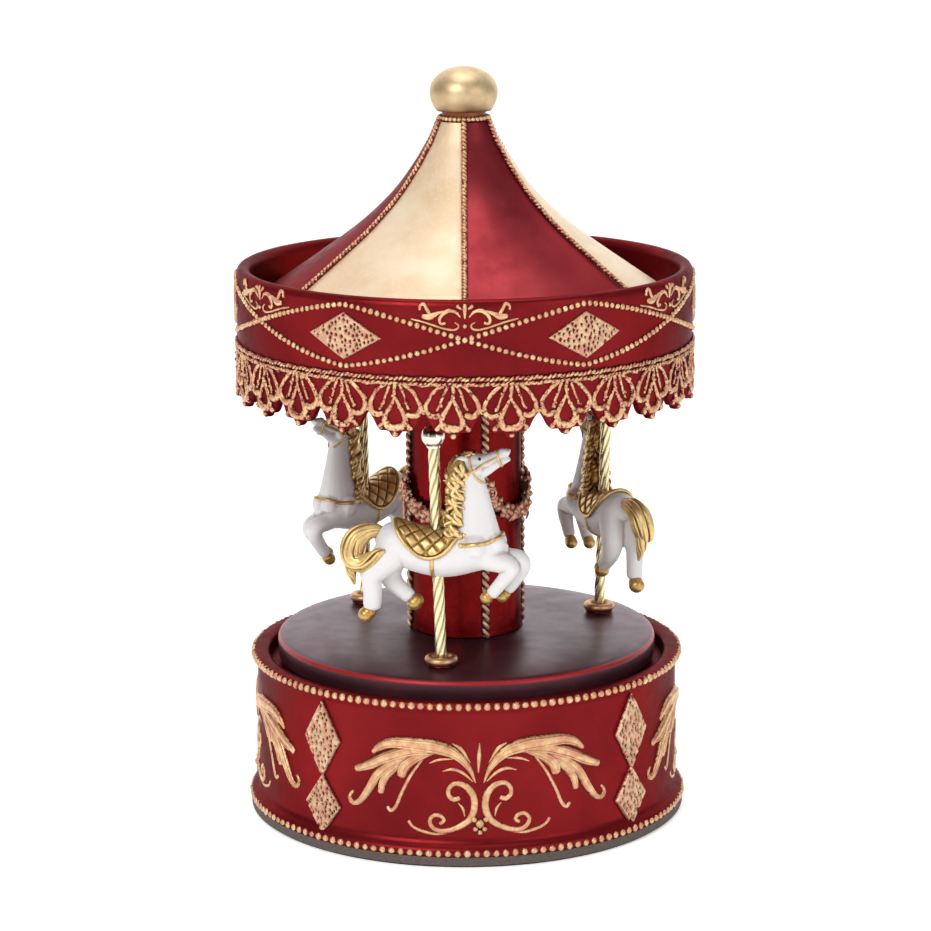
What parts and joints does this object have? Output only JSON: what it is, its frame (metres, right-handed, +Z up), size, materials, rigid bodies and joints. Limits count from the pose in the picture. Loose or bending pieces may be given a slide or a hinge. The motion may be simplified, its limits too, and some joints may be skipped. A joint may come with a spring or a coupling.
{
  "type": "carousel music box",
  "caption": "Wind-up carousel music box: a round drum base holds the movement and turns a deck with leaping horses on poles, a column and a tent canopy.",
  "frame": {"origin": "centre of the felt underside of the base", "axes": "+Z up along the spindle; -Y is the front as pictured; +X is to its right"},
  "size_m": [0.1044, 0.1044, 0.17],
  "materials": {
    "felt": "dense black felt",
    "fibreboard": "raw fibreboard, sealed edge",
    "steel": "turned steel",
    "spring_steel": "blued spring steel",
    "comb_steel": "ground and tuned steel",
    "brass": "turned brass",
    "zinc": "die-cast zinc, satin",
    "nylon": "natural nylon",
    "fly_plastic": "black moulded plastic",
    "base_red": "cast resin, deep candy red with dry-brushed gold relief",
    "column_red": "cast resin, deep candy red",
    "deck_maroon": "cast resin, satin maroon with a rubbed red edge",
    "roof_panels": "cast resin, panels in turn pale champagne and deep candy red",
    "gold_paint": "dry-brushed rose gold over red",
    "brushed_gold": "brushed pale gold",
    "pole_gold": "twisted pale gold rod",
    "pearl_silver": "pearl paint",
    "horse_white": "moulded resin, white with gold mane, tail and tack"
  },
  "bodies": {
    "base": {"felt_pad": "felt", "bottom_plate": "fibreboard", "plate_screws": "steel", "base_shell": "base_red", "spindle_bush": "brass", "thrust_washer": "nylon", "movement_bedplate": "zinc", "bedplate_screws": "steel", "top_bridge": "zinc", "bridge_screws": "steel", "music_comb": "comb_steel", "comb_screws": "steel", "governor_frame": "zinc"},
    "carousel": {"spring_barrel": "brass", "output_spindle": "steel", "mainspring": "spring_steel", "deck": "deck_maroon", "deck_hub": "brass", "tie_rod": "steel", "pole_collar_1": "gold_paint", "pole_collar_2": "gold_paint", "pole_collar_3": "gold_paint", "pole_1": "pole_gold", "pole_2": "pole_gold", "pole_3": "pole_gold", "pole_ball_1": "pearl_silver", "pole_ball_2": "pearl_silver", "pole_ball_3": "pearl_silver", "horse_1": "horse_white", "horse_2": "horse_white", "horse_3": "horse_white", "column": "column_red", "column_ropes": "gold_paint", "column_garland": "gold_paint", "canopy_ceiling": "column_red", "canopy_band": "base_red", "roof_cone": "roof_panels", "roof_seam_cords": "gold_paint", "roof_bead_ring": "gold_paint", "finial_ball": "brushed_gold"},
    "key": {"winding_key": "brass", "winding_arbor": "steel"},
    "cylinder": {"pinned_cylinder": "brass", "cylinder_pinion": "steel", "cylinder_gear": "brass"},
    "governor": {"governor_wheel": "brass"},
    "fly": {"governor_worm": "steel", "air_brake_fly": "fly_plastic"}
  },
  "joints": [
    {"name": "carousel_spin", "type": "hinge", "parent": "base", "child": "carousel", "pos_m": [0, 0, 0.036], "axis": [0, 0, 1], "continuous": true},
    {"name": "key_turn", "type": "hinge", "parent": "base", "child": "key", "pos_m": [0, 0, 0.006], "axis": [0, 0, 1], "continuous": true},
    {"name": "cylinder_spin", "type": "hinge", "parent": "base", "child": "cylinder", "pos_m": [0.023, 0, 0.02457], "axis": [1, 0, 0], "continuous": true},
    {"name": "governor_spin", "type": "hinge", "parent": "base", "child": "governor", "pos_m": [0.0355, 0.006, 0.01958], "axis": [1, 0, 0], "continuous": true},
    {"name": "fly_spin", "type": "hinge", "parent": "base", "child": "fly", "pos_m": [0.0362, 0.00995, 0.022], "axis": [0, 0, 1], "continuous": true}
  ],
  "couplings": [
    {"joint": "cylinder_spin", "follows": "carousel_spin", "ratio": 3},
    {"joint": "governor_spin", "follows": "carousel_spin", "ratio": -12},
    {"joint": "fly_spin", "follows": "carousel_spin", "ratio": -240}
  ]
}
